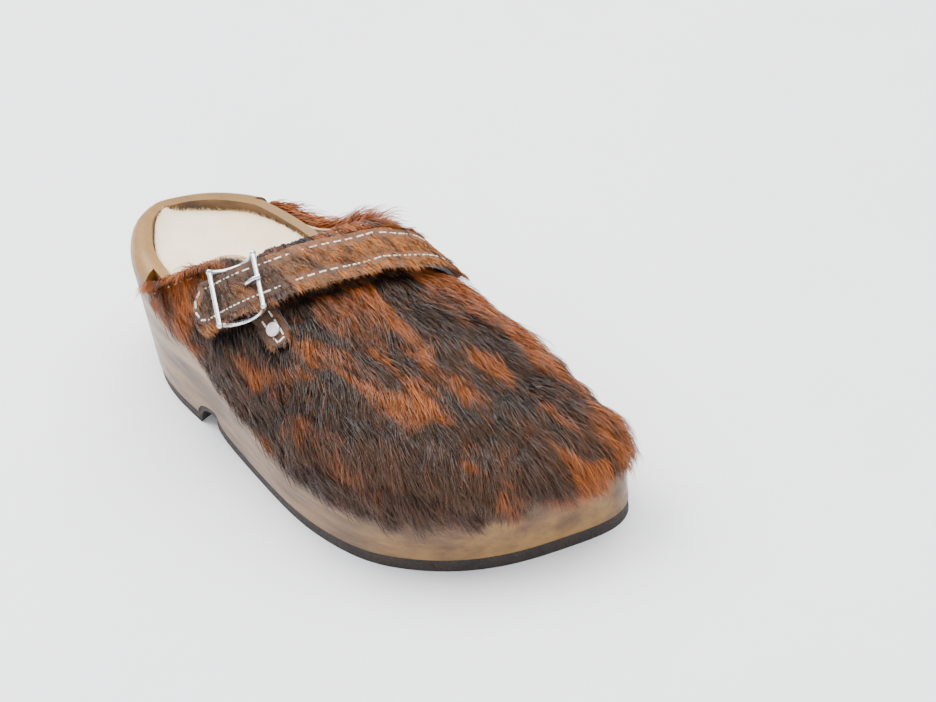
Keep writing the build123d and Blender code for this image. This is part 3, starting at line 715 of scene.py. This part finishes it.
# ---- sub-assemblies ------------------------------------------------------------------------
@dataclass
class Footbed:
    """Wooden sole, rubber outsole and leather insole."""

    insole_voxel: float = 0.7 * MM
    fuzz_count: int = 5200
    fuzz_length: float = 2.2 * MM

    def build(self) -> None:
        """Builds and dresses the footbed."""
        dress("wooden_sole", WoodFinish().make())
        dress("rubber_outsole", SheetFinish(
            "worn_rubber", (0.022, 0.014, 0.010), (0.010, 0.006, 0.005), coarse=120.0,
            fine=900.0, roughness=0.8, depth=0.0008).make())
        cream = SheetFinish("cream_leather", (0.90, 0.77, 0.57), (0.80, 0.63, 0.42), coarse=22.0,
                            fine=1300.0, roughness=0.72, depth=0.00022, sheen=0.15).make()
        mesh = soft_mesh("leather_insole", self.insole_voxel, 0.12 * MM, 30 * MM)
        insole = new_piece("insole_leather_sheet", mesh, cream, "clog")
        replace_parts(insole, "leather_insole")
        self.add_fuzz(cream)

    def add_fuzz(self, material: bpy.types.Material) -> None:
        """Raises loose fibres along the insole's cut edge.

        Args:
            material: the insole's finish.
        """
        rng = np.random.default_rng(SEED + 1)
        corners, normals = triangles("leather_insole")
        area = np.linalg.norm(normals, axis=1)
        normals = normals / np.maximum(area, 1e-12)[:, None]
        weight = np.where(np.abs(normals[:, 2]) < 0.5, area, 0.0)
        chosen = rng.choice(len(area), size=self.fuzz_count, p=weight / weight.sum())
        shares = rng.dirichlet((1, 1, 1), self.fuzz_count)
        places = (corners[chosen] * shares[:, :, None]).sum(axis=1)
        out = normals[chosen]
        up = np.array([0.0, 0.0, 1.0])
        way = up * rng.uniform(0.5, 1.0, self.fuzz_count)[:, None] - out * rng.uniform(
            0.1, 0.7, self.fuzz_count)[:, None] + rng.normal(0, 0.35, (self.fuzz_count, 3))
        length = self.fuzz_length * rng.uniform(0.4, 1.0, self.fuzz_count)[:, None]
        wide = np.cross(way, out)
        wide *= 0.09 * MM / np.maximum(np.linalg.norm(wide, axis=1), 1e-9)[:, None]
        start = places - out * 0.3 * MM
        rows = [start - wide, start + wide, start + way * length]
        vertices = np.stack(rows, axis=1).reshape(-1, 3)
        faces = np.arange(self.fuzz_count * 3).reshape(-1, 3)
        mesh = bpy.data.meshes.new("insole_edge_fibres")
        mesh.from_pydata(vertices.tolist(), [], faces.tolist())
        new_piece("insole_edge_fibres", mesh, material, "clog")


@dataclass
class Upper:
    """Hair-on hide and its lining."""

    skin_voxel: float = 1.2 * MM
    split: float = 42 * MM

    def build(self) -> None:
        """Builds and dresses the upper."""
        skin = HairFinish("hide_skin", is_skin=True, dark=(0.014, 0.008, 0.006),
                          grey=(0.05, 0.03, 0.022), rust=(0.14, 0.045, 0.012)).make()
        mesh = soft_mesh("upper_hide", self.skin_voxel, 0.25 * MM, 22 * MM)
        piece = new_piece("upper_skin", mesh, skin, "clog")
        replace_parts(piece, "upper_hide")
        hair = HairFinish("brindled_hair").make()
        roof = ("strap_hide", "strap_lining", "buckle_tab_hide", "buckle_frame")
        for coat in (
            Coat("upper_undercoat", "upper_hide", "clog", Lie.OVER_VAMP, 38000, 7.5 * MM,
                 0.42 * MM, 0.10, SEED + 2, roof=roof),
            Coat("upper_rear_guard_hair", "upper_hide", "clog", Lie.OVER_VAMP, 36000, 12 * MM,
                 0.30 * MM, 0.15, SEED + 3, rear=self.split, roof=roof),
            Coat("upper_front_guard_hair", "upper_hide", "clog", Lie.OVER_VAMP, 38000, 12 * MM,
                 0.30 * MM, 0.15, SEED + 4, front=self.split, roof=roof),
        ):
            coat.build(hair, "hair_on_hide")
        dress("upper_lining", SheetFinish(
            "tan_lining", (0.56, 0.38, 0.22), (0.42, 0.27, 0.15), coarse=45.0,
            roughness=0.7).make())


@dataclass
class StrapAndTab:
    """Instep strap and buckle tab, each of two sewn leathers."""

    strap_voxel: float = 0.7 * MM
    tab_voxel: float = 0.4 * MM

    def build(self) -> None:
        """Builds and dresses the strap and the tab."""
        skin = HairFinish("strap_skin", is_skin=True, dark=(0.05, 0.022, 0.012),
                          grey=(0.11, 0.06, 0.035), rust=(0.26, 0.10, 0.035),
                          rust_amount=0.10).make()
        hair = HairFinish("strap_hair", dark=(0.022, 0.008, 0.003), grey=(0.11, 0.045, 0.015),
                          rust=(0.36, 0.11, 0.014), rust_amount=0.10).make()
        for name, node, voxel in (("strap_skin_side", "strap_hide", self.strap_voxel),
                                  ("tab_skin_side", "buckle_tab_hide", self.tab_voxel)):
            mesh = soft_mesh(node, voxel, 0.08 * MM, 12 * MM)
            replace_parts(new_piece(name, mesh, skin, "strap"), node)
        Coat("strap_hair_coat", "strap_hide", "strap", Lie.ACROSS_STRAP, 17000, 5.2 * MM,
             0.32 * MM, 0.10, SEED + 5, seam="strap_stitching",
             roof=("buckle_frame", "buckle_prong")).build(hair, "hair_on_hide")
        Coat("tab_hair_coat", "buckle_tab_hide", "strap", Lie.OVER_VAMP, 2200, 3.0 * MM,
             0.26 * MM, 0.08, SEED + 6, seam="buckle_tab_stitching",
             roof=("buckle_frame", "buckle_prong", "strap_lining")).build(hair, "hair_on_hide")
        grey = SheetFinish("grey_split_leather", (0.17, 0.165, 0.175), (0.09, 0.088, 0.095),
                           coarse=90.0, fine=1800.0, roughness=0.85, sheen=0.3).make()
        for node in ("strap_lining", "buckle_tab_lining"):
            dress(node, grey)


@dataclass
class Fastenings:
    """Thread, nails, rivets, buckle and prong."""

    thread: SheetFinish = SheetFinish(
        "waxed_thread", (0.86, 0.82, 0.74), (0.62, 0.56, 0.46), coarse=700.0, fine=4200.0,
        roughness=0.55, depth=0.00012)

    def build(self) -> None:
        """Dresses every fastening."""
        thread = self.thread.make()
        for node in ("topline_stitching", "strap_stitching", "buckle_tab_stitching"):
            dress(node, thread)
        steel = MetalFinish("wire_nail_steel", (0.42, 0.41, 0.40), 0.35).make()
        dress("upper_nails", steel)
        for node in ("lateral_rivet_base", "medial_rivet_base"):
            dress(node, steel)
        cap = MetalFinish("pale_rivet_metal", (0.80, 0.77, 0.72), 0.32).make()
        for node in ("lateral_rivet_cap", "medial_rivet_cap"):
            dress(node, cap)
        nickel = MetalFinish("polished_nickel", (0.78, 0.78, 0.80), 0.14).make()
        for node in ("buckle_frame", "buckle_prong"):
            dress(node, nickel)


@dataclass
class Studio:
    """Pale floor, soft light and the camera."""

    camera_place: tuple[float, float, float] = (0.5026, -0.4018, 0.5523)
    forward: tuple[float, float, float] = (-0.5657, 0.5346, -0.6279)
    upward: tuple[float, float, float] = (-0.3464, 0.5370, 0.7692)
    lens: float = 75.4
    floor_size: float = 6.0

    def aim(self, item: bpy.types.Object, place: Vector, target: Vector) -> None:
        """Puts a lamp at a place and turns it to a target."""
        item.matrix_world = Matrix.Translation(place) @ (
            (target - place).to_track_quat("-Z", "Y").to_matrix().to_4x4())

    def add_lamp(self, name: str, place: tuple[float, float, float], size: float,
                 power: float) -> None:
        """Adds one soft lamp.

        Args:
            name: the lamp's name.
            place: where it hangs.
            size: side of its square in metres.
            power: watts.
        """
        light = bpy.data.lights.new(name, "AREA")
        light.shape = "SQUARE"
        light.size = size
        light.energy = power
        lamp = bpy.data.objects.new(name, light)
        bpy.context.scene.collection.objects.link(lamp)
        self.aim(lamp, Vector(place), Vector((0, 0, 0.04)))

    def build(self) -> None:
        """Builds the studio."""
        camera = bpy.data.objects.new("camera", bpy.data.cameras.new("camera"))
        bpy.context.scene.collection.objects.link(camera)
        ahead, up = Vector(self.forward).normalized(), Vector(self.upward)
        right = ahead.cross(up).normalized()
        up = right.cross(ahead)
        turn = Matrix((right, up, -ahead)).transposed().to_4x4()
        camera.matrix_world = Matrix.Translation(self.camera_place) @ turn
        camera.data.lens = self.lens
        camera.data.sensor_width = 36.0
        camera.data.clip_start = 0.01
        bpy.context.scene.camera = camera
        world = bpy.data.worlds.new("soft_room")
        bpy.context.scene.world = world
        world.use_nodes = True
        backdrop = world.node_tree.nodes["Background"]
        backdrop.inputs["Color"].default_value = (0.93, 0.96, 1.0, 1.0)
        backdrop.inputs["Strength"].default_value = 0.85
        self.add_lamp("window_side", (-1.1, -0.2, 1.5), 1.4, 62.0)
        self.add_lamp("overhead", (0.2, 0.6, 1.9), 1.8, 74.0)
        self.add_lamp("fill_front", (1.4, -1.3, 1.0), 1.4, 20.0)
        mesh = bpy.data.meshes.new("floor")
        half = self.floor_size / 2
        corners = [(-half, -half, 0), (half, -half, 0), (half, half, 0), (-half, half, 0)]
        mesh.from_pydata(corners, [], [(0, 1, 2, 3)])
        finish = SheetFinish("pale_floor", (0.90, 0.91, 0.93), (0.86, 0.87, 0.90), coarse=3.0,
                             fine=60.0, roughness=0.6, depth=0.0001)
        mesh.materials.append(finish.make())
        floor = bpy.data.objects.new("floor", mesh)
        bpy.context.scene.collection.objects.link(floor)


def main() -> None:
    """Builds the clog's looks and the studio."""
    logging.basicConfig(level=logging.INFO, format="%(name)s: %(message)s")
    for assembly in (Footbed(), Upper(), StrapAndTab(), Fastenings(), Studio()):
        assembly.build()
        LOG.info("%s built", type(assembly).__name__)


if __name__ == "__main__":
    main()
